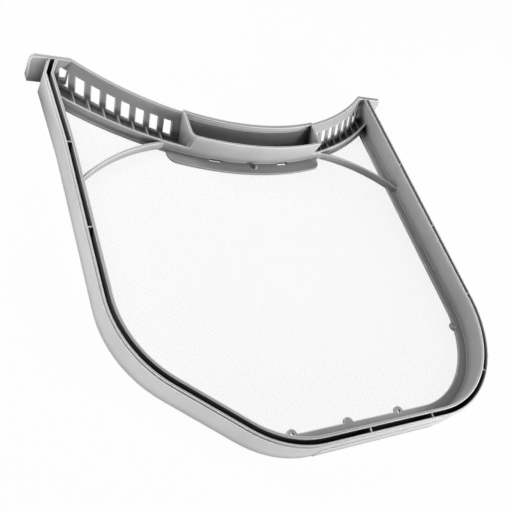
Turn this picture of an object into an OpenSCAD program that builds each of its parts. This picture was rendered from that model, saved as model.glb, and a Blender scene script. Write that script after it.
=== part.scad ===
// Lint filter of a tumble dryer: a moulded frame with a channel rim, a slanted
// handle band with windows and a finger pocket, and a mesh bonded behind it.
// The filter lies on its back: X across, Y towards the handle, Z up, in mm.

/* [Rim] */
// Width of the rim between the groove's outer edges
rim_width = 360; // [260:1:420]
// Sideways offset of the rim's middle from the handle's middle
rim_offset = -3.4; // [-8:0.1:8]
// Length from the handle's back to the groove's outer edge at the far side
rim_length = 355.3; // [280:0.1:400]
// Height of the rim's walls
rim_height = 23; // [16:0.5:32]
// Width of the seal groove between the two walls
groove_width = 3.8; // [2.5:0.1:6]
// Thickness of the two walls beside the groove
wall_thickness = 2.2; // [1.6:0.1:3]
// Thickness of the groove's floor
floor_thickness = 1.6; // [1.2:0.1:3]
// Run of the cut corner along the far side
corner_run = 101.9; // [60:0.1:140]
// Drop of the cut corner along the side wall
corner_drop = 86.1; // [50:0.1:120]
// Radius where the side wall turns into the cut corner
side_corner_radius = 91.5; // [40:0.5:100]
// Radius where the cut corner turns into the far side
end_corner_radius = 88; // [40:0.5:100]
// Radius of the opposite, plain corner
plain_corner_radius = 100; // [40:1:120]
// Thickness of the lip that stands along the groove's outer edge
lip_thickness = 1; // [0.6:0.1:1.4]
// Height of that lip above the outer wall's shoulder
lip_height = 1.4; // [0.6:0.1:3]
// Height of the thicker lower part of the outer wall along the far side
skirt_height = 14; // [6:0.5:18]
// How far the lower part stands out from the outer wall
skirt_step = 0.5; // [0.3:0.1:1]
// Inward bend of the left side wall at its handle end
bend_offset = 4.5; // [0:0.1:5]
// Length of that bend
bend_length = 20; // [12:0.5:24]
// Outward flare of the left side wall, greatest where that bend starts
flare_offset = 3; // [0:0.1:4]
// Distance from the handle at which the flare starts
flare_length = 90; // [60:1:120]

/* [Groove ribs] */
// Thickness of the ribs that bridge the groove
groove_rib = 1; // [0.8:0.1:2]
// How far the ribs end below the rim's top
groove_rib_drop = 0.3; // [0.2:0.1:4]
// First rib behind the handle's back
rib_first = 92; // [60:1:110]
// Distance from the last rib of the right side wall to the plain corner
rib_end_gap = 5.3; // [2:0.1:20]
// Turn of the rib in the plain corner
corner_rib_angle = 46; // [20:1:70]
// Distance from the plain corner to the first rib of the far side
end_rib_gap = 16; // [4:0.5:30]
// Step to the next rib, as a share of the far side's straight length
end_rib_share = 0.53; // [0.4:0.01:0.7]

/* [Ledge and mesh] */
// Width of the ledge inside the rim
ledge_width = 9; // [6:0.5:12]
// Thickness of the ledge
ledge_thickness = 2; // [1.5:0.1:3]
// Thickness of the mesh behind the ledge
mesh_thickness = 0.4; // [0.3:0.05:0.6]
// Height at which the mesh lies above the rim's back
mesh_recess = 0.2; // [0.1:0.05:1]
// Gap between the mesh's edge and the walls around it
mesh_clearance = 0.3; // [0.1:0.05:0.8]
// Length of the slots through the ledge
slot_length = 12; // [8:0.5:16]
// Width of the slots
slot_width = 1.4; // [1:0.1:2]
// Distance from the inner wall to the middle of a slot
slot_offset = 3.2; // [2:0.1:4]
// First slot behind the handle's back
slot_first = 45.5; // [44:0.5:56]
// Distance from the last slot's middle to the plain corner
slot_end_gap = 16.3; // [8:0.1:30]
// Outer radius of the eyelets on the ledge
eyelet_radius = 4.4; // [3.5:0.1:5.5]
// Radius of the hole in an eyelet
eyelet_hole = 1.6; // [1:0.1:2]
// Distance from the right side wall's eyelet to the far side
side_eyelet_gap = 81.8; // [70:0.1:95]
// Distance from the plain corner to the first eyelet of the far side
end_eyelet_gap = 29; // [20:0.5:40]
// Step to the rounded bump between the eyelets, as a share of that straight length
end_eyelet_share = 0.43; // [0.3:0.01:0.45]

/* [Handle band] */
// How far each ear stands out beyond the groove's outer edge
ear_overhang = 16; // [8:0.5:30]
// Turn of the handle against the rim, in degrees
handle_turn = 0.6; // [0:0.1:1.5]
// Distance from the groove's outer edge in to where the band's arc ends
band_inset = 17.2; // [14:0.1:24]
// Depth of the band's lowest point behind the ears
band_dip = 60.2; // [50:0.1:70]
// How far the band slants for each millimetre of height
band_slant = 0.7; // [0.4:0.01:0.9]
// Thickness of the band, measured along Y
band_thickness = 2.6; // [2:0.1:3.5]
// Windows on each side of the pocket
window_count = 8; // [4:1:9]
// Width of a window, as a share of the step from window to window
window_share = 0.6; // [0.4:0.01:0.7]
// Distance from the groove's outer edge in to the outermost window's middle
window_margin = 12.8; // [12:0.1:18]
// Distance from the pocket's side out to the innermost window's middle
window_gap = 12.1; // [9:0.1:16]
// Height of a window's sill
window_sill = 4.5; // [3:0.1:6]
// Height of a window's head
window_head = 15.4; // [12:0.1:18]
// Depth of an ear at its foot
ear_depth = 8.5; // [6:0.1:12]
// Depth of an ear at its top
ear_top_depth = 3.7; // [2:0.1:5]
// Thickness of an ear's end wall
ear_wall = 2.2; // [1.6:0.1:3]
// Radius of an ear's upper corner
ear_corner_radius = 4; // [2:0.5:8]

/* [Front rail and finger pocket] */
// How far beyond the groove's outer edge the front wall's arc would reach the ears' back
front_spread = 26; // [16:0.5:45]
// Depth of the front wall's lowest point behind the ears
front_dip = 85.9; // [80:0.1:95]
// Sideways offset of the front arc's middle
front_offset = -7.4; // [-10:0.1:10]
// Thickness of the front rail
rail_thickness = 1.6; // [1.2:0.1:2.5]
// Height of the front rail
rail_height = 10; // [7:0.5:14]
// Width of the foot that runs along the front rail
rail_foot = 2.4; // [1.5:0.1:4]
// Thickness of the thin ribs between band and rail
grid_rib = 1.2; // [0.8:0.1:2]
// Height of the thin ribs
grid_rib_height = 5; // [3:0.5:7]
// Width of the finger pocket over its walls
pocket_width = 145; // [130:1:148]
// Thickness of the pocket's walls
pocket_wall = 2; // [1.6:0.1:3]
// How far the pocket's rim stands above the rim
pocket_rim = 2.4; // [1:0.1:4]
// How far the bead along the mouth's back stands out from the band
bead_step = 0.7; // [0.4:0.1:2]
// Height of that bead
bead_height = 4.6; // [3:0.1:6]
// Radius of the pocket's front left corner
pocket_corner_radius = 7; // [4:0.5:9]
// Width of the tab under the pocket
tab_width = 12.5; // [10:0.5:16]
// Sideways offset of the tab's middle
tab_offset = -3.4; // [-8:0.1:8]
// Distance from the tab's middle to its ends
tab_reach = 84.5; // [80:0.5:90]
// Radius of the tab's rounded ends
tab_corner_radius = 10; // [6:0.5:11]
// Length of the two slots in the tab
tab_slot_length = 12.5; // [8:0.5:16]
// Width of those slots
tab_slot_width = 2.6; // [1.5:0.1:4]
// Depth of the slots' notch in the foot of the front wall
tab_slot_notch = 0.5; // [0.2:0.1:1]
// Distance from the tab's middle to a slot
tab_slot_place = 37.3; // [25:0.1:50]
// Radius of the knob on the tab
knob_radius = 2.3; // [1.5:0.1:3]
// Distance from the pocket's front wall to the knob's middle
knob_offset = 4.7; // [3:0.1:7]
// Height of the knob above the tab
knob_height = 2.6; // [1.5:0.1:4]

/* [Braces] */
// Radius of a brace along its middle
brace_radius = 162; // [140:1:200]
// Distance from the handle's middle to the brace's arc centre
brace_centre_out = 59; // [50:0.5:70]
// Distance from the ears' back to the brace's arc centre
brace_centre_back = 231.5; // [220:0.5:240]
// Thickness of a brace
brace_thickness = 2; // [1.4:0.1:3]
// Height of a brace's top above the rim's back
brace_height = 8.5; // [6:0.5:11]

/* [Hidden] */
$fn = 96;

// How far a cutting shape runs past the faces that it cuts
overrun = 2;
// How far a rounded corner runs past the arc it meets
corner_lap = 0.02;

// Rim, as distances inwards from the groove's outer edge
rim_left = -rim_width / 2 + rim_offset;
rim_right = rim_width / 2 + rim_offset;
lip_out = -lip_thickness;
outer_out = -wall_thickness;
inner_in = groove_width + wall_thickness;
ledge_in = inner_in + ledge_width;
mesh_in = inner_in + mesh_clearance;

// Unit vector that points inwards from the cut corner
cut_length = sqrt(corner_run * corner_run + corner_drop * corner_drop);
cut_in = [corner_drop / cut_length, corner_run / cut_length];

// Arc centres of the rim's three corners
side_centre = [rim_left + side_corner_radius,
               corner_line(rim_left + side_corner_radius, side_corner_radius)];
end_centre = [corner_place(-rim_length + end_corner_radius, end_corner_radius),
              -rim_length + end_corner_radius];
plain_centre = [rim_right - plain_corner_radius, -rim_length + plain_corner_radius];

// The cut corner's line, moved inwards: its y at a given x, and its x at a given y
function corner_line(x, inset) =
    -rim_length + corner_drop + (inset - (x - rim_left) * cut_in[0]) / cut_in[1];
function corner_place(y, inset) =
    rim_left + (inset - (y + rim_length - corner_drop) * cut_in[1]) / cut_in[0];

// Heights
ledge_base = mesh_recess + mesh_thickness;
ledge_top = ledge_base + ledge_thickness;
pocket_top = rim_height + pocket_rim;

// Places along the rim's straight sides
rib_step = (rim_length - plain_corner_radius - rib_end_gap - rib_first) / 2;
slot_step = (rim_length - plain_corner_radius - slot_end_gap - slot_first) / 3;
end_length = plain_centre[0] - end_centre[0];

// Ears: half the handle's width, and how the turned handle shifts and rises
ear_reach = rim_width / 2 + ear_overhang;
handle_shift = -ear_depth * sin(handle_turn) / 2;
handle_lift = ear_reach * sin(handle_turn);

// Arcs of the band's back edge and of the front wall, each through its lowest
// point and the two places where it would meet the ears' back
band_kink = rim_width / 2 - band_inset;
band_radius = (band_kink * band_kink + band_dip * band_dip) / (2 * band_dip);
band_centre = [0, band_radius - band_dip];
front_reach = rim_width / 2 + front_spread;
front_radius = (front_reach * front_reach + front_dip * front_dip) / (2 * front_dip);
front_centre = [front_offset, front_radius - front_dip];

// Windows
window_first = rim_width / 2 - window_margin;
window_step = (window_first - pocket_width / 2 - window_gap) / (window_count - 1);
window_width = window_share * window_step;

// The band ends inside the inner walls of the rim
band_left = rim_left + groove_width + wall_thickness / 2;
band_right = rim_right - groove_width - wall_thickness / 2;

// Tab under the pocket, centred between the handle and the front wall's arc
tab_radius = front_radius + tab_width;

// The filter's middle along Y lies at the origin
total_length = rim_length + wall_thickness + skirt_step + 2 * handle_lift;
handle_back = total_length / 2 - 2 * handle_lift;
// The rim's outline runs past the handle, which then cuts it off
rim_end = 2 * handle_lift + overrun;

// Shared shapes

// Area inside the rim, moved inwards from the groove's outer edge and open past the handle
module rim_area(inset, base, top) {
    side = side_centre;
    end = end_centre;
    plain = plain_centre;
    left = rim_left + inset;
    right = rim_right - inset;
    far = -rim_length + inset;
    translate([0, 0, base]) linear_extrude(top - base) {
        polygon([
            [left, side[1]],
            side - cut_in * (side_corner_radius - inset),
            end - cut_in * (end_corner_radius - inset),
            [end[0], far], [plain[0], far],
            [right, plain[1]], [right, rim_end], [left + bend_offset, rim_end],
            [left + bend_offset, 0], [left - flare_offset, -bend_length], [left, -flare_length]
        ]);
        translate(side) circle(side_corner_radius - inset);
        translate(end) circle(end_corner_radius - inset);
        translate(plain) circle(plain_corner_radius - inset);
    }
}

// Wall between two insets of the rim's outline
module rim_wall(outer, inner, base, top) {
    difference() {
        rim_area(outer, base, top);
        rim_area(inner, base - overrun, top + overrun);
    }
}

// Places the handle's band, ears and windows, slightly turned against the rim
module handle_place() {
    translate([handle_shift, handle_lift]) rotate(handle_turn) children();
}

// All that lies on the mesh's side of the handle's back line, or of a line inside it
module handle_side(inset) {
    handle_place() translate([-rim_width, -2 * rim_length - inset])
        cube([2 * rim_width, 2 * rim_length, rim_height]);
}

// Cone that the band's back follows, moved towards the mesh by the given amount
module band_cone(out, base, top) {
    handle_place() translate([band_centre[0], band_centre[1], base])
        cylinder(
            h = top - base,
            r1 = band_radius + out + band_slant * (rim_height - base),
            r2 = band_radius + out + band_slant * (rim_height - top)
        );
}

// Disc about the front wall's arc centre
module front_disc(radius, base, top) {
    translate([front_centre[0], front_centre[1], base]) cylinder(h = top - base, r = radius);
}

// Space between two places across the filter
module span_box(from, to, base, top) {
    translate([from, -rim_length, base])
        cube([to - from, rim_length + 2 * handle_lift, top - base]);
}

// Cap of a front disc between two places, with its corners rounded
module front_cap(radius, left, right, left_round, right_round, base, top) {
    difference() {
        intersection() {
            front_disc(radius, base, top);
            span_box(left, right, base, top);
        }
        cap_corner(radius, left, left_round, 1, base, top);
        if (right_round > 0) cap_corner(radius, right, right_round, -1, base, top);
    }
}

// What is cut away outside a rounded corner of such a cap
module cap_corner(radius, side, corner, way, base, top) {
    middle = side + way * corner;
    reach = middle - front_centre[0];
    level = front_centre[1] - sqrt((radius - corner) * (radius - corner) - reach * reach) - corner_lap;
    touch = front_centre[0] + reach * radius / (radius - corner);
    width = way * (touch - side) + overrun;
    translate([0, 0, base - overrun]) difference() {
        translate([way > 0 ? side - overrun : touch, level - 2 * corner])
            cube([width, 2 * corner, top - base + 2 * overrun]);
        translate([middle, level]) cylinder(h = top - base + 2 * overrun, r = corner);
    }
}

// Pieces of the frame

// Channel around the filter: outer wall with lip and far skirt, groove and inner wall
module rim() {
    difference() {
        intersection() {
            rim_solid();
            handle_side(ear_top_depth / 2);
        }
        rim_area(inner_in, -overrun, rim_height + overrun);
        rim_wall(0, groove_width, floor_thickness, rim_height + overrun);
    }
}

// The rim's full outline before it is hollowed
module rim_solid() {
    translate([end_centre[0], -rim_length - wall_thickness - skirt_step])
        cube([end_length, skirt_step + wall_thickness, skirt_height]);
    rim_area(outer_out, 0, rim_height - lip_height);
    rim_area(lip_out, 0, rim_height);
}

// Ribs that bridge the groove along the side walls, the plain corner and the far side,
// from the middle of the inner wall to the middle of the outer one
module groove_ribs() {
    top = rim_height - groove_rib_drop;
    across = groove_width + wall_thickness;
    start = groove_width + wall_thickness / 2;
    for (i = [0:2]) translate([rim_right - start, -rib_first - i * rib_step - groove_rib / 2])
        cube([across, groove_rib, top]);
    for (i = [0:1]) translate([rim_left + start - across, -rib_first - i * rib_step - groove_rib / 2])
        cube([across, groove_rib, top]);
    translate(plain_centre) rotate(-corner_rib_angle)
        translate([plain_corner_radius - start, -groove_rib / 2]) cube([across, groove_rib, top]);
    for (i = [0:1]) {
        place = plain_centre[0] - end_rib_gap - i * end_rib_share * end_length;
        translate([place - groove_rib / 2, -rim_length + start - across])
            cube([groove_rib, across, top]);
    }
}

// Flat ledge inside the rim with its slots, and the eyelets on its inner edge
module ledge() {
    far = -rim_length + ledge_in;
    side_reach = plain_corner_radius - ledge_in;
    side_turn = asin((plain_corner_radius - side_eyelet_gap) / side_reach);
    end_first = plain_centre[0] - end_eyelet_gap;
    end_step = end_eyelet_share * end_length;
    difference() {
        union() {
            rim_wall(inner_in - wall_thickness / 2, ledge_in, ledge_base, ledge_top);
            translate(plain_centre) rotate(-side_turn) translate([side_reach, 0, ledge_base])
                cylinder(h = ledge_thickness, r = eyelet_radius);
            for (i = [0:2]) translate([end_first - i * end_step, far, ledge_base])
                cylinder(h = ledge_thickness, r = eyelet_radius);
        }
        front_disc(front_radius - rail_thickness / 2, 0, rim_height);
        for (i = [0:3]) for (x = [rim_left + inner_in + slot_offset, rim_right - inner_in - slot_offset])
            translate([x - slot_width / 2, -slot_first - i * slot_step - slot_length / 2, 0])
                cube([slot_width, slot_length, rim_height]);
        translate(plain_centre) rotate(-side_turn) translate([side_reach, 0])
            cylinder(h = rim_height, r = eyelet_hole);
        for (i = [0, 2]) translate([end_first - i * end_step, far])
            cylinder(h = rim_height, r = eyelet_hole);
    }
}

// Slanted band, closed at its ends by the rim's inner walls
module band() {
    difference() {
        intersection() {
            span_box(band_left, band_right, 0, rim_height);
            handle_side(0);
            band_cone(band_thickness, 0, rim_height);
        }
        band_cone(0, -overrun, rim_height + overrun);
        windows();
    }
}

// Rows of windows through the band and the ears, on each side of the pocket
module windows() {
    handle_place() for (way = [-1, 1]) for (i = [0:window_count - 1]) {
        place = way * (window_first - i * window_step);
        translate([place - window_width / 2, -rim_length, window_sill])
            cube([window_width, rim_length + overrun, window_head - window_sill]);
    }
}

// Both ears, with the outermost windows running through them
module ears() {
    difference() {
        handle_place() {
            ear();
            mirror([1, 0]) ear();
        }
        windows();
    }
}

// Ear at one end of the band: a slanted front, an end wall and a rounded upper corner
module ear() {
    reach = ear_reach;
    corner = reach - ear_corner_radius;
    intersection() {
        union() {
            translate([band_kink, 0]) rotate([90, 0, 90]) linear_extrude(reach - band_kink)
                polygon([
                    [-ear_depth, 0], [-ear_top_depth, rim_height], [0, rim_height],
                    [ear_top_depth - ear_depth, 0]
                ]);
            translate([reach - ear_wall, 0]) rotate([90, 0, 90]) linear_extrude(ear_wall)
                polygon([[-ear_depth, 0], [-ear_top_depth, rim_height], [0, rim_height], [0, 0]]);
        }
        union() {
            translate([band_kink, -rim_length]) cube([corner - band_kink, rim_length, rim_height]);
            translate([band_kink, -rim_length])
                cube([reach - band_kink, rim_length, rim_height - ear_corner_radius]);
            translate([corner, 0, rim_height - ear_corner_radius]) rotate([90, 0, 0])
                cylinder(h = rim_length, r = ear_corner_radius);
        }
    }
}

// Low wall in front of the band, its foot over the mesh and the floor behind it
module front_rail() {
    intersection() {
        span_box(band_left, band_right, 0, rim_height);
        union() {
            difference() {
                union() {
                    front_disc(front_radius, 0, rail_height);
                    front_disc(front_radius + rail_foot, ledge_base, ledge_top);
                }
                front_disc(front_radius - rail_thickness, floor_thickness, rim_height);
                band_cone(band_thickness / 2, -overrun, rim_height);
            }
        }
    }
}

// Thin ribs between the band and the front rail, one between each two windows
module grid_ribs() {
    difference() {
        intersection() {
            front_disc(front_radius - rail_thickness / 2, 0, grid_rib_height);
            handle_place() for (way = [-1, 1]) for (i = [0:window_count - 2]) {
                place = way * (window_first - (i + 1 / 2) * window_step);
                translate([place - grid_rib / 2, -rim_length])
                    cube([grid_rib, rim_length, grid_rib_height]);
            }
        }
        band_cone(band_thickness / 2, -overrun, rim_height);
    }
}

// Finger pocket with a bead along the back of its mouth
module pocket() {
    half = pocket_width / 2;
    round = pocket_corner_radius;
    bead = band_thickness + bead_step;
    difference() {
        front_cap(front_radius, -half, half, round, 0, 0, pocket_top);
        band_cone(0, -overrun, rim_height + overrun);
        back_disc(band_radius, rim_height, pocket_top + overrun);
        difference() {
            front_cap(
                front_radius - pocket_wall, -half + pocket_wall, half - pocket_wall,
                round - pocket_wall, 0, floor_thickness, pocket_top + overrun
            );
            band_cone(band_thickness, 0, rim_height);
            band_cone(bead, pocket_top - bead_height, rim_height);
            back_disc(band_radius + bead, rim_height, pocket_top + overrun);
        }
    }
}

// Disc about the band's arc centre
module back_disc(radius, base, top) {
    handle_place() translate([band_centre[0], band_centre[1], base])
        cylinder(h = top - base, r = radius);
}

// Tab under the pocket, with a knob
module tab() {
    difference() {
        front_cap(
            tab_radius, tab_offset - tab_reach, tab_offset + tab_reach,
            tab_corner_radius, tab_corner_radius, ledge_base, ledge_top
        );
        front_disc(front_radius - rail_thickness / 2, 0, rim_height);
    }
    translate([0, -front_dip - knob_offset, ledge_base]) {
        cylinder(h = ledge_thickness + knob_height / 2, r = knob_radius);
        translate([0, 0, ledge_thickness + knob_height / 2])
            cylinder(h = knob_height / 2, r1 = knob_radius, r2 = knob_radius / 2);
    }
}

// Two slots through the tab, which notch the foot of the front wall
module tab_slots() {
    for (way = [-1, 1]) translate(front_centre)
        rotate(asin((tab_offset - front_offset + way * tab_slot_place) / front_radius))
            translate([-tab_slot_length / 2, -front_radius - tab_slot_width, -overrun])
                cube([
                    tab_slot_length, tab_slot_width + tab_slot_notch,
                    overrun + ledge_top + tab_slot_notch
                ]);
}

// Curved ribs from the pocket's corners to the side walls, standing on the mesh
module braces() {
    for (way = [-1, 1]) difference() {
        translate([way * brace_centre_out, -brace_centre_back, ledge_base]) difference() {
            cylinder(h = brace_height - ledge_base, r = brace_radius + brace_thickness / 2);
            translate([0, 0, -overrun]) cylinder(
                h = brace_height - ledge_base + 2 * overrun, r = brace_radius - brace_thickness / 2
            );
        }
        front_disc(front_radius - rail_thickness / 2, 0, rim_height);
        translate([way > 0 ? band_right : band_left - rim_width, -rim_length - rim_width, 0])
            cube([rim_width, rim_length + rim_width, rim_height]);
        translate([way * (brace_centre_out - rim_width / 2) - rim_width / 2, -rim_length - rim_width, 0])
            cube([rim_width, rim_length + rim_width, rim_height]);
        translate([-rim_width, -rim_length - rim_width, 0])
            cube([2 * rim_width, rim_length + rim_width - brace_centre_back, rim_height]);
    }
}

// The one-piece moulded frame
module frame() {
    color("LightGray") translate([0, handle_back]) {
        rim();
        groove_ribs();
        ledge();
        band();
        ears();
        difference() {
            union() {
                front_rail();
                grid_ribs();
                pocket();
                tab();
            }
            tab_slots();
        }
        braces();
    }
}

// The fine mesh, bonded to the back of the ledge, the front rail's foot and the braces
module mesh_screen() {
    color("White") translate([0, handle_back]) difference() {
        rim_area(mesh_in, mesh_recess, ledge_base);
        front_disc(front_radius + mesh_clearance, 0, rim_height);
    }
}

frame();
mesh_screen();
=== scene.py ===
"""Lint filter of a tumble dryer, lying on its back on a white table.

A one-piece moulded frame in light grey plastic carries a fine white mesh.
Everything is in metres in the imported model's own frame: X across the filter,
Y towards the handle band, Z up from the table.
"""
import math

import bmesh
import bpy
import numpy as np
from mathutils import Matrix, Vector


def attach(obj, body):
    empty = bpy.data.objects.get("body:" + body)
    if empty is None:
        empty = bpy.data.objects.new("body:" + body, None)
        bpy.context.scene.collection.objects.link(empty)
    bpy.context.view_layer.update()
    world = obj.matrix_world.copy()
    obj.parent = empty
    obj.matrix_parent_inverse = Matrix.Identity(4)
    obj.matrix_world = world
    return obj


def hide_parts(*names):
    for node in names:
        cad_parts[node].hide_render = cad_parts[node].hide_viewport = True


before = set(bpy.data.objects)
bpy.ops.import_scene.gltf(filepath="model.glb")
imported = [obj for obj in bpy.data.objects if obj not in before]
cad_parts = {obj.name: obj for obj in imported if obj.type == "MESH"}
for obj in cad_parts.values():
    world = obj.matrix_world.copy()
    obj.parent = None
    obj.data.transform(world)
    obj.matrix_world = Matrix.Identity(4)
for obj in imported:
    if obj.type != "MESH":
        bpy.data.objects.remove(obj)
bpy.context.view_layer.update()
scene = bpy.context.scene


# The camera looks down on the filter from beyond its cut corner, turned so
# that the handle band runs along the top of the picture. The whole filter is
# seen, from the band's two ears to the rounded corner nearest the lens.
camera = bpy.data.cameras.new("studio_camera")
camera.lens = 45.85
camera.sensor_width = 36
camera.clip_start = 0.02
camera_stand = bpy.data.objects.new("studio_camera", camera)
camera_stand.location = (-0.34024, -0.24856, 0.39733)
camera_stand.rotation_euler = [math.radians(a) for a in (36.6463, -27.0779, -20.6231)]
scene.collection.objects.link(camera_stand)
scene.camera = camera_stand


# The frame is one injection moulding in matt light grey plastic: channel rim,
# slanted band, finger pocket, rails and braces. Its solid is copied as it is,
# shaded along its true curves, and its material rounds the edges, paints pale
# highlights along them and paints shade into its recesses.
frame_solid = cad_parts["frame"]
moulding_mesh = frame_solid.data.copy()
moulding_mesh.name = "frame_moulding"
moulding = bpy.data.objects.new("frame_moulding", moulding_mesh)
scene.collection.objects.link(moulding)

# Merges the solid's loose triangles, then shades its curved walls smooth and
# keeps its true edges sharp.
MERGE_WITHIN = 2e-6
SHARP_ANGLE = math.radians(13)
shell = bmesh.new()
shell.from_mesh(moulding_mesh)
bmesh.ops.remove_doubles(shell, verts=shell.verts, dist=MERGE_WITHIN)
shell.to_mesh(moulding_mesh)
shell.free()
face_count = len(moulding_mesh.polygons)
moulding_mesh.polygons.foreach_set("use_smooth", np.ones(face_count, dtype=bool))
moulding_mesh.set_sharp_from_angle(angle=SHARP_ANGLE)

# Every corner of every face, in millimetres. The moulding is laid out from
# the back of the handle, SHIFT beyond the middle of the model.
PER_METRE = 1000
SHIFT = 176.948
corner_of = np.empty(face_count * 3, dtype=np.int32)
moulding_mesh.loops.foreach_get("vertex_index", corner_of)
spots = np.empty(len(moulding_mesh.vertices) * 3)
moulding_mesh.vertices.foreach_get("co", spots)
x, y, z = np.moveaxis(spots.reshape(-1, 3)[corner_of].reshape(-1, 3, 3) * PER_METRE, -1, 0)
y = y - SHIFT
flat_normals = np.empty(face_count * 3)
moulding_mesh.polygons.foreach_get("normal", flat_normals)
flat_normals = flat_normals.reshape(-1, 1, 3)

# The groove's outer edge: three straight sides and a cut corner, rounded at
# both of the cut's ends and at the plain corner. The left side flares near
# the handle.
RIM_LEFT, RIM_RIGHT, FAR = -183.4, 176.6, -355.3
CORNER_RUN, CORNER_DROP = 101.9, 86.1
SIDE_ROUND, END_ROUND, PLAIN_ROUND = 91.5, 88.0, 100.0
FLARE, FLARE_START, FLARE_END = 3.0, -90.0, -20.0
cut = np.array([CORNER_DROP, CORNER_RUN]) / math.hypot(CORNER_RUN, CORNER_DROP)
side_x = RIM_LEFT + SIDE_ROUND
side_y = FAR + CORNER_DROP + (SIDE_ROUND - SIDE_ROUND * cut[0]) / cut[1]
end_y = FAR + END_ROUND
end_x = RIM_LEFT + (END_ROUND - (end_y - FAR - CORNER_DROP) * cut[1]) / cut[0]
plain_x, plain_y = RIM_RIGHT - PLAIN_ROUND, FAR + PLAIN_ROUND


def side_flare(y):
    """How far the left side stands out at y: nothing up to FLARE_START, then
    evenly more, up to FLARE at FLARE_END."""
    return FLARE * np.clip((y - FLARE_START) / (FLARE_END - FLARE_START), 0, 1)


def rim_depth(x, y):
    """How far a point in millimetres lies inside the groove's outer edge: the
    least distance to the rim's four straight sides, or in a rounded corner
    the corner's radius less the distance to its centre."""
    slope = (x - RIM_LEFT) * cut[0] + (y - FAR - CORNER_DROP) * cut[1]
    sides = [x - (RIM_LEFT - side_flare(y)), RIM_RIGHT - x, y - FAR, slope]
    depth = np.minimum.reduce(sides)
    in_side = (y < side_y) & ((x - side_x) * cut[1] < (y - side_y) * cut[0])
    in_end = (x < end_x) & ((x - end_x) * cut[1] > (y - end_y) * cut[0]) & (y < end_y)
    in_plain = (x > plain_x) & (y < plain_y)
    depth = np.where(in_side, SIDE_ROUND - np.hypot(x - side_x, y - side_y), depth)
    depth = np.where(in_end, END_ROUND - np.hypot(x - end_x, y - end_y), depth)
    return np.where(in_plain, PLAIN_ROUND - np.hypot(x - plain_x, y - plain_y), depth)


def near_to(values, walls, slack):
    """True for each face whose three corners all lie within the slack of one
    of the walls."""
    return (np.abs(values[..., None] - walls).max(1) < slack).any(-1)


# The walls' own curves give the shading its normals: square to the rim's
# outline, and outwards from the centres of the band's cone and of the front
# rail's arc. A wall is known by its distance inwards from the rim's outline,
# or by its radius. Faces past the cosine LEVEL stay flat, and a curve guides
# only faces that it agrees with past the cosine ALIKE.
RIM_HEIGHT = 23.0
RIM_WALLS = np.array([-2.7, -2.2, -1.0, 0.0, 3.8, 6.0, 15.0])
BAND_CENTRE, BAND_RADIUS, BAND_SLANT, BAND_REACH = (-2.03, 192.04), 250.2, 0.7, 5.0
ARC_CENTRE = (-7.4, 204.06)
ARC_WALLS = np.array([288.0, 288.4, 290.0, 292.4, 302.5])
RIM_SLACK, BAND_SLACK, ARC_SLACK = 0.2, 0.2, 0.15
STEP, NOT_ZERO = 0.05, 1e-9
LEVEL, ALIKE = 0.995, 0.975

across = rim_depth(x + STEP, y) - rim_depth(x - STEP, y)
along = rim_depth(x, y + STEP) - rim_depth(x, y - STEP)
band_x, band_y = x - BAND_CENTRE[0], y - BAND_CENTRE[1]
arc_x, arc_y = x - ARC_CENTRE[0], y - ARC_CENTRE[1]
from_band = np.hypot(band_x, band_y)
from_arc = np.hypot(arc_x, arc_y)
past_cone = from_band - BAND_RADIUS - BAND_SLANT * (RIM_HEIGHT - z)
spread = np.abs(past_cone - past_cone.mean(1, keepdims=True)).max(1)
on_cone = (spread < BAND_SLACK) & (np.abs(past_cone).max(1) < BAND_REACH)
guides = [
    (np.stack([across, along, 0 * z], -1), near_to(rim_depth(x, y), RIM_WALLS, RIM_SLACK)),
    (np.stack([arc_x, arc_y, 0 * z], -1), near_to(from_arc, ARC_WALLS, ARC_SLACK)),
    (np.stack([band_x, band_y, BAND_SLANT * from_band], -1), on_cone),
]
level = np.where(np.abs(flat_normals[..., 2:]) > LEVEL, flat_normals, 0)
guided = level + np.zeros((1, 3, 1))
for direction, chosen in guides:
    direction /= np.maximum(np.linalg.norm(direction, axis=-1, keepdims=True), NOT_ZERO)
    agree = (direction * flat_normals).sum(-1, keepdims=True)
    chosen &= (np.abs(agree).min((1, 2)) > ALIKE) & (np.abs(guided).max((1, 2)) == 0)
    guided[chosen] = (direction * np.sign(agree))[chosen]
moulding_mesh.normals_split_custom_set(guided.reshape(-1, 3).tolist())

# Marks where shade is painted into the colour: deep in the finger pocket and in
# the shallow cells on either side of it, on the tab, and thinly on the band.
BAND_THICKNESS, FACE_SLACK, BAND_SHADE = 2.6, 0.3, 0.22
POCKET_HALF, POCKET_FADE = 71.5, 9.0
CELL_TOP, CELL_FADE = 10.5, 4.0
TAB_HALF, TAB_HEIGHT, TAB_RADIUS, TAB_SHADE = 88.0, 6.0, 316.0, 0.45
FRONT_INSIDE, FRONT_OUTSIDE = 288.3, 289.5

in_pocket = np.abs(x) < POCKET_HALF
sunk = np.where(in_pocket, (RIM_HEIGHT - z) / POCKET_FADE, (CELL_TOP - z) / CELL_FADE)
behind_front = (from_arc < FRONT_INSIDE) & (past_cone > BAND_THICKNESS / 2)
tab = (from_arc > FRONT_OUTSIDE) & (from_arc < TAB_RADIUS) & (z < TAB_HEIGHT)
tab &= np.abs(arc_x) < TAB_HALF
band_face = np.abs(past_cone - BAND_THICKNESS) < FACE_SLACK
painted_shade = np.clip(sunk, 0, 1) * behind_front
painted_shade += TAB_SHADE * tab.all(1, keepdims=True)
painted_shade += BAND_SHADE * band_face.all(1, keepdims=True)
shade_marks = moulding_mesh.attributes.new("painted_shade", "FLOAT", "CORNER")
shade_marks.data.foreach_set("value", painted_shade.ravel().astype(np.float32))


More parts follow.
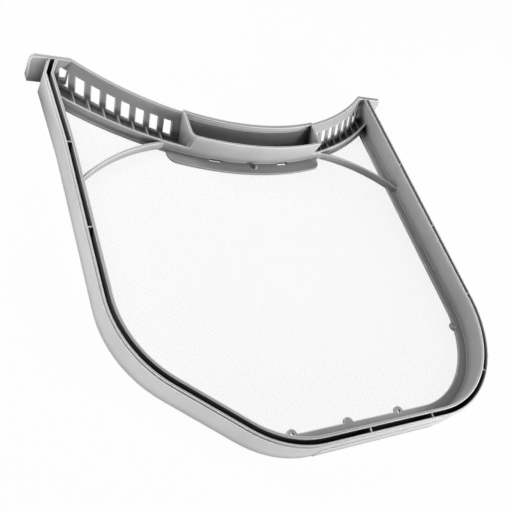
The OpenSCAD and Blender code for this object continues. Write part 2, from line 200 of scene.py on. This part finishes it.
def node_of(tree, kind, place, values=None, **settings):
    """Adds one shader node at a place on the sheet, with its plain settings
    and then the values of its input sockets."""
    item = tree.nodes.new(kind)
    item.location = place
    for name, value in settings.items():
        setattr(item, name, value)
    for name, value in (values or {}).items():
        item.inputs[name].default_value = value
    return item


def shade_ramp(tree, place, dark, pale):
    """Adds a ramp between two stops, each a position and a colour."""
    ramp = node_of(tree, "ShaderNodeValToRGB", place)
    for stop, (position, colour) in zip(ramp.color_ramp.elements, (dark, pale)):
        stop.position = position
        stop.color = (*colour, 1)
    return ramp


grey_plastic = bpy.data.materials.new("grey_moulded_plastic")
grey_plastic.use_nodes = True
tree = grey_plastic.node_tree
shader = tree.nodes["Principled BSDF"]
shader.inputs["Specular IOR Level"].default_value = 0.42
place = node_of(tree, "ShaderNodeTexCoord", (-1200, 0))

# Colour: the resin flows unevenly, so a broad cloud shifts the grey slightly
flow = node_of(
    tree, "ShaderNodeTexNoise", (-980, 80), {"Scale": 14, "Detail": 8, "Roughness": 0.65}
)
shade = shade_ramp(
    tree, (-760, 80), (0.3, (0.45, 0.452, 0.454)), (0.7, (0.55, 0.552, 0.554))
)
tree.links.new(place.outputs["Object"], flow.inputs["Vector"])
tree.links.new(flow.outputs["Fac"], shade.inputs["Fac"])

# Painted highlights: where the rounded normal leaves the flat one, the edges
# are painted paler, as bright lines of light along the rims
edges = node_of(tree, "ShaderNodeBevel", (-1200, 760), {"Radius": 0.0015}, samples=8)
flat = node_of(tree, "ShaderNodeNewGeometry", (-1200, 600))
lean = node_of(tree, "ShaderNodeVectorMath", (-980, 700), operation="DOT_PRODUCT")
edge_highlight = node_of(
    tree, "ShaderNodeMapRange", (-760, 740), {"From Min": 0.999, "From Max": 0.95}
)
highlit_edges = node_of(
    tree, "ShaderNodeMix", (-540, 620), {"B": (0.96, 0.962, 0.965, 1)}, data_type="RGBA"
)
tree.links.new(edges.outputs["Normal"], lean.inputs[0])
tree.links.new(flat.outputs["Normal"], lean.inputs[1])
tree.links.new(lean.outputs["Value"], edge_highlight.inputs["Value"])
tree.links.new(edge_highlight.outputs["Result"], highlit_edges.inputs["Factor"])
tree.links.new(shade.outputs["Color"], highlit_edges.inputs["A"])

# Painted shade: ambient occlusion darkens the colour in the grooves and other
# recesses, and the marked painted shade dims the pockets, the tab and the band
recess_occlusion = node_of(tree, "ShaderNodeAmbientOcclusion", (-980, 520), {"Distance": 0.01}, samples=8)
painted_recess_shade = node_of(
    tree, "ShaderNodeMapRange", (-760, 480), {"From Min": 0.22, "From Max": 0.9, "To Min": 0.26}
)
marked_shade = node_of(tree, "ShaderNodeAttribute", (-980, 300), attribute_name="painted_shade")
dim = node_of(tree, "ShaderNodeMapRange", (-760, 260), {"To Min": 1.0, "To Max": 0.3})
both = node_of(tree, "ShaderNodeMath", (-540, 360), operation="MULTIPLY")
shaded_colour = node_of(
    tree, "ShaderNodeMix", (-320, 460), {"Factor": 1.0}, data_type="RGBA", blend_type="MULTIPLY"
)
tree.links.new(recess_occlusion.outputs["AO"], painted_recess_shade.inputs["Value"])
tree.links.new(marked_shade.outputs["Fac"], dim.inputs["Value"])
tree.links.new(painted_recess_shade.outputs["Result"], both.inputs[0])
tree.links.new(dim.outputs["Result"], both.inputs[1])
tree.links.new(highlit_edges.outputs["Result"], shaded_colour.inputs["A"])
tree.links.new(both.outputs[0], shaded_colour.inputs["B"])
tree.links.new(shaded_colour.outputs["Result"], shader.inputs["Base Color"])

# Gloss: handling leaves the surface a little smoother in patches
handling = node_of(tree, "ShaderNodeTexNoise", (-980, -160), {"Scale": 60})
gloss = node_of(tree, "ShaderNodeMapRange", (-760, -160), {"To Min": 0.42, "To Max": 0.56})
tree.links.new(place.outputs["Object"], handling.inputs["Vector"])
tree.links.new(handling.outputs["Fac"], gloss.inputs["Value"])
tree.links.new(gloss.outputs["Result"], shader.inputs["Roughness"])

# Grain: the mould's fine spark texture, over the rounded edges
grain = node_of(tree, "ShaderNodeTexNoise", (-980, -420), {"Scale": 1400, "Detail": 2})
relief = node_of(
    tree, "ShaderNodeBump", (-500, -420), {"Strength": 0.12, "Distance": 0.0002}
)
tree.links.new(place.outputs["Object"], grain.inputs["Vector"])
tree.links.new(grain.outputs["Fac"], relief.inputs["Height"])
tree.links.new(edges.outputs["Normal"], relief.inputs["Normal"])
tree.links.new(relief.outputs["Normal"], shader.inputs["Normal"])

moulding_mesh.materials.clear()
moulding_mesh.materials.append(grey_plastic)
frame_solid.data.materials.clear()
frame_solid.data.materials.append(grey_plastic)
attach(moulding, "root")
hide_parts("frame")


# The mesh is a fine white nylon weave, stretched flat and bonded to the back
# of the ledge and of the front rail's foot. It is cut to the rim's outline,
# INSET from the groove's outer edge, and to an arc under the front rail.
MESH_BASE, MESH_TOP = 0.0002, 0.0006
COLUMNS, ROWS = 150, 130
INSET = 6.3
FRONT_RADIUS = 290.26
FLARE_FADE = 40.0


def corner_arc(x, centre_x, centre_y, radius):
    """Far half of a circle over x: the centre's y less the root of the
    radius squared less the distance along x squared."""
    return centre_y - np.sqrt(np.maximum(radius * radius - (x - centre_x) ** 2, 0))


def far_edge(x):
    """Far edge of the mesh over x: the side corner's arc, the cut corner's
    line, the end corner's arc, the far line and the plain corner's arc, each
    over its own stretch of x."""
    line = FAR + CORNER_DROP + (INSET - (x - RIM_LEFT) * cut[0]) / cut[1]
    side, end, plain = (r - INSET for r in (SIDE_ROUND, END_ROUND, PLAIN_ROUND))
    side_arc = corner_arc(x, side_x, side_y, side)
    end_arc = corner_arc(x, end_x, end_y, end)
    return np.select(
        [x < side_x - cut[0] * side, x < end_x - cut[0] * end, x < end_x, x < plain_x],
        [side_arc, line, end_arc, np.full_like(x, FAR + INSET)],
        corner_arc(x, plain_x, plain_y, plain),
    )


# Columns crowd towards the two sides, where the corner arcs run steeply; rows
# run from the far edge to the near edge, an arc. The left columns follow the
# side's flare.
left, right = RIM_LEFT + INSET, RIM_RIGHT - INSET
swing = np.sin(np.linspace(-1, 1, COLUMNS) * math.pi / 2)
columns = (left + right) / 2 + (right - left) / 2 * swing
share = np.linspace(0, 1, ROWS)[:, None]
near_edge = corner_arc(columns, *ARC_CENTRE, FRONT_RADIUS)
rows = far_edge(columns)[None] * (1 - share) + near_edge[None] * share
flared = columns - side_flare(rows) * np.clip((left + FLARE_FADE - columns) / FLARE_FADE, 0, 1)
top = np.stack([flared / PER_METRE, (rows + SHIFT) / PER_METRE, np.full_like(rows, MESH_TOP)], -1)
base = top.copy()
base[..., 2] = MESH_BASE

# Top faces, the same turned over for the base, and a strip round the edge
point_count = COLUMNS * ROWS
index = np.arange(point_count).reshape(ROWS, COLUMNS)
corners = [index[:-1, :-1], index[:-1, 1:], index[1:, 1:], index[1:, :-1]]
top_faces = np.stack([corner.ravel() for corner in corners], 1)
rim_loop = np.concatenate([index[0, :], index[1:, -1], index[-1, -2::-1], index[-2:0:-1, 0]])
following = np.roll(rim_loop, -1)
side_faces = np.stack([rim_loop + point_count, following + point_count, following, rim_loop], 1)
faces = np.concatenate([top_faces, top_faces[:, ::-1] + point_count, side_faces])
points = np.concatenate([top.reshape(-1, 3), base.reshape(-1, 3)])

cloth_mesh = bpy.data.meshes.new("nylon_mesh")
cloth_mesh.from_pydata(points.tolist(), [], faces.tolist())
cloth_mesh.update()
cloth = bpy.data.objects.new("nylon_mesh", cloth_mesh)
scene.collection.objects.link(cloth)

nylon = bpy.data.materials.new("white_nylon_weave")
nylon.use_nodes = True
tree = nylon.node_tree
shader = tree.nodes["Principled BSDF"]
shader.inputs["Roughness"].default_value = 0.6
shader.inputs["Specular IOR Level"].default_value = 0.3
shader.inputs["Transmission Weight"].default_value = 0.7
shader.inputs["IOR"].default_value = 1.1
place = node_of(tree, "ShaderNodeTexCoord", (-1400, 0))

# Threads: two sets of fine waves at right angles, laid askew to the filter
turn = node_of(tree, "ShaderNodeMapping", (-1200, 0), {"Rotation": (0, 0, math.radians(38))})
tree.links.new(place.outputs["Object"], turn.inputs["Vector"])
wave = {"Scale": 185, "Distortion": 0.6, "Detail": 1}
warp = node_of(tree, "ShaderNodeTexWave", (-980, 160), wave, bands_direction="X")
weft = node_of(tree, "ShaderNodeTexWave", (-980, -160), wave, bands_direction="Y")
crossing = node_of(tree, "ShaderNodeMath", (-760, 0), operation="MAXIMUM")
for side, threads in enumerate((warp, weft)):
    tree.links.new(turn.outputs["Vector"], threads.inputs["Vector"])
    tree.links.new(threads.outputs["Fac"], crossing.inputs[side])

# White threads with open holes between them, standing a little proud
white = shade_ramp(tree, (-540, 200), (0, (0.88, 0.885, 0.89)), (1, (0.96, 0.962, 0.965)))
holes = node_of(
    tree, "ShaderNodeMapRange", (-540, -60),
    {"From Min": 0.45, "From Max": 0.7, "To Min": 0.11, "To Max": 0.19},
)
proud = node_of(
    tree, "ShaderNodeBump", (-300, -340), {"Strength": 0.15, "Distance": 0.0002}
)
tree.links.new(crossing.outputs[0], white.inputs["Fac"])
tree.links.new(white.outputs["Color"], shader.inputs["Base Color"])
tree.links.new(crossing.outputs[0], holes.inputs["Value"])
tree.links.new(holes.outputs["Result"], shader.inputs["Alpha"])
tree.links.new(crossing.outputs[0], proud.inputs["Height"])
tree.links.new(proud.outputs["Normal"], shader.inputs["Normal"])

mesh_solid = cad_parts["mesh_screen"]
cloth_mesh.materials.append(nylon)
mesh_solid.data.materials.clear()
mesh_solid.data.materials.append(nylon)
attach(cloth, "root")
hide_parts("mesh_screen")


# The filter lies on a plain white studio table. To the camera, and in glints
# and through the mesh, the table is near white with soft shadows; it lights
# the filter as plain white card.
TABLE_HALF, TABLE_TOP = 6, -0.0004
table_mesh = bpy.data.meshes.new("studio_table")
table_corners = [(-1, -1), (1, -1), (1, 1), (-1, 1)]
table_mesh.from_pydata(
    [(TABLE_HALF * a, TABLE_HALF * b, TABLE_TOP) for a, b in table_corners], [], [(0, 1, 2, 3)]
)
studio_table = bpy.data.objects.new("studio_table", table_mesh)
scene.collection.objects.link(studio_table)
card = bpy.data.materials.new("white_card")
card.use_nodes = True
tree = card.node_tree
shader = tree.nodes["Principled BSDF"]
shader.inputs["Base Color"].default_value = (0.8, 0.8, 0.8, 1)
shader.inputs["Roughness"].default_value = 0.9
ray = node_of(tree, "ShaderNodeLightPath", (-800, 300))
seen = node_of(tree, "ShaderNodeMath", (-560, 300), operation="MAXIMUM")
seen_through = node_of(tree, "ShaderNodeMath", (-380, 300), operation="MAXIMUM")
whiteness = node_of(tree, "ShaderNodeMath", (-200, 300), {1: 0.97}, operation="MULTIPLY")
paper_white = node_of(tree, "ShaderNodeEmission", (0, -200), {"Strength": 1.0})
blend = node_of(tree, "ShaderNodeMixShader", (300, 100))
tree.links.new(ray.outputs["Is Camera Ray"], seen.inputs[0])
tree.links.new(ray.outputs["Is Glossy Ray"], seen.inputs[1])
tree.links.new(seen.outputs[0], seen_through.inputs[0])
tree.links.new(ray.outputs["Is Transmission Ray"], seen_through.inputs[1])
tree.links.new(seen_through.outputs[0], whiteness.inputs[0])
tree.links.new(whiteness.outputs[0], blend.inputs["Fac"])
tree.links.new(shader.outputs[0], blend.inputs[1])
tree.links.new(paper_white.outputs[0], blend.inputs[2])
tree.links.new(blend.outputs[0], tree.nodes["Material Output"].inputs["Surface"])
table_mesh.materials.append(card)


# Studio light: five soft boxes in an even pale surround. The key stands low
# beyond the plain corner, with a higher one beside it; a strip along the table
# lights the left wall, a strip the right one, and a box at the back fills in.
def soft_box(name, place, aim, size, power):
    """An area lamp of a width and a height at a place, turned to face a point."""
    lamp = bpy.data.lights.new(name, "AREA")
    lamp.shape = "RECTANGLE"
    lamp.size, lamp.size_y = size
    lamp.energy = power
    stand = bpy.data.objects.new(name, lamp)
    stand.location = place
    stand.rotation_euler = (Vector(aim) - Vector(place)).to_track_quat("-Z", "Y").to_euler()
    stand.visible_camera = False
    scene.collection.objects.link(stand)


soft_box("key_box", (0.76, -0.73, 0.19), (0, 0.03, 0), (0.4, 0.2), 9.5)
soft_box("high_box", (0.8, -0.3, 0.6), (0, 0, 0), (0.3, 0.3), 3.8)
soft_box("low_strip", (-0.62, -0.45, 0.022), (-0.15, -0.1, 0.012), (0.7, 0.035), 3.3)
soft_box("right_strip", (0.8, 0.05, 0.2), (0.1, 0, 0), (0.5, 0.1), 0.8)
soft_box("back_fill", (-0.45, 0.42, 0.4), (0.05, -0.05, 0), (0.3, 0.3), 2.8)

# The surround lights the filter faintly and is plain white to the camera
surround = bpy.data.worlds.new("pale_surround")
surround.use_nodes = True
tree = surround.node_tree
faint = tree.nodes["Background"]
faint.inputs["Color"].default_value = (0.98, 0.99, 1.0, 1)
faint.inputs["Strength"].default_value = 0.07
backdrop = node_of(tree, "ShaderNodeBackground", (0, -160), {"Color": (1, 1, 1, 1)})
ray = node_of(tree, "ShaderNodeLightPath", (-200, 300))
blend = node_of(tree, "ShaderNodeMixShader", (200, 60))
tree.links.new(ray.outputs["Is Camera Ray"], blend.inputs["Fac"])
tree.links.new(faint.outputs[0], blend.inputs[1])
tree.links.new(backdrop.outputs[0], blend.inputs[2])
tree.links.new(blend.outputs[0], tree.nodes["World Output"].inputs["Surface"])
scene.world = surround
scene.view_settings.view_transform = "Standard"
